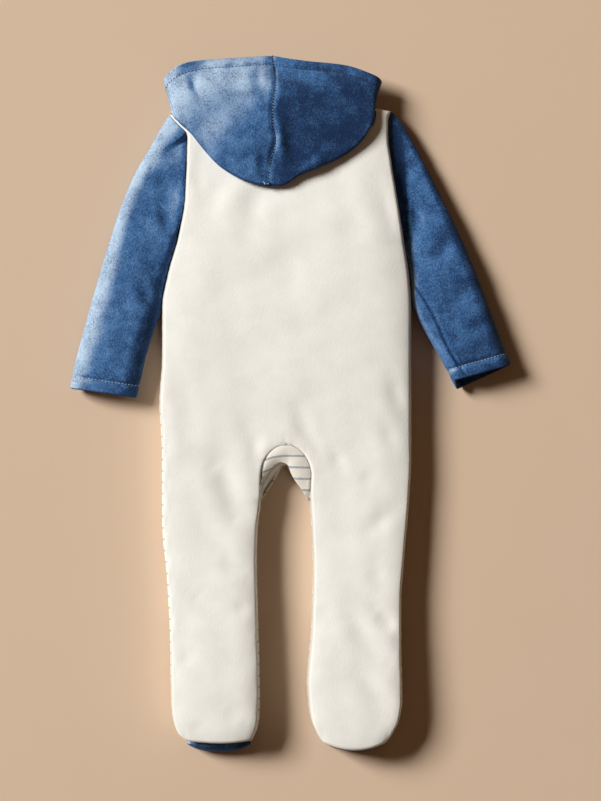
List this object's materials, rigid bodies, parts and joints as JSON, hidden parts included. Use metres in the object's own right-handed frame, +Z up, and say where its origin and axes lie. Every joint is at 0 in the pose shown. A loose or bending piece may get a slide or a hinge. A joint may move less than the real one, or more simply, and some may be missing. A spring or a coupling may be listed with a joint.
{
  "type": "footed baby sleepsuit",
  "caption": "Hooded, footed baby sleepsuit lying face down: hollow soft body, legs with folded feet, open sleeves and a hood folded on the back.",
  "frame": {"origin": "middle of the suit's box, on the surface it lies on", "axes": "+X to the right seen from above, +Y from the feet to the hood, +Z up, out of the back"},
  "size_m": [0.4173, 0.6609, 0.0376],
  "materials": {
    "ivory_velour": "cotton velour, short soft pile",
    "blue_melange_velour": "melange cotton velour, short soft pile",
    "striped_jersey": "cotton jersey with thin grey-blue stripes",
    "press_stud": "satin moulded caps"
  },
  "bodies": {
    "root": {"back": "ivory_velour", "front_left": "striped_jersey", "front_right": "striped_jersey", "crotch_gusset": "striped_jersey", "placket": "striped_jersey", "instep_left": "striped_jersey", "instep_right": "striped_jersey", "sleeve_left": "blue_melange_velour", "sleeve_right": "blue_melange_velour", "hood_left": "blue_melange_velour", "hood_right": "blue_melange_velour", "sole_left": "blue_melange_velour", "sole_right": "blue_melange_velour", "popper_1": "press_stud", "popper_2": "press_stud", "popper_3": "press_stud", "popper_4": "press_stud", "popper_5": "press_stud", "popper_6": "press_stud", "popper_7": "press_stud"}
  },
  "joints": []
}
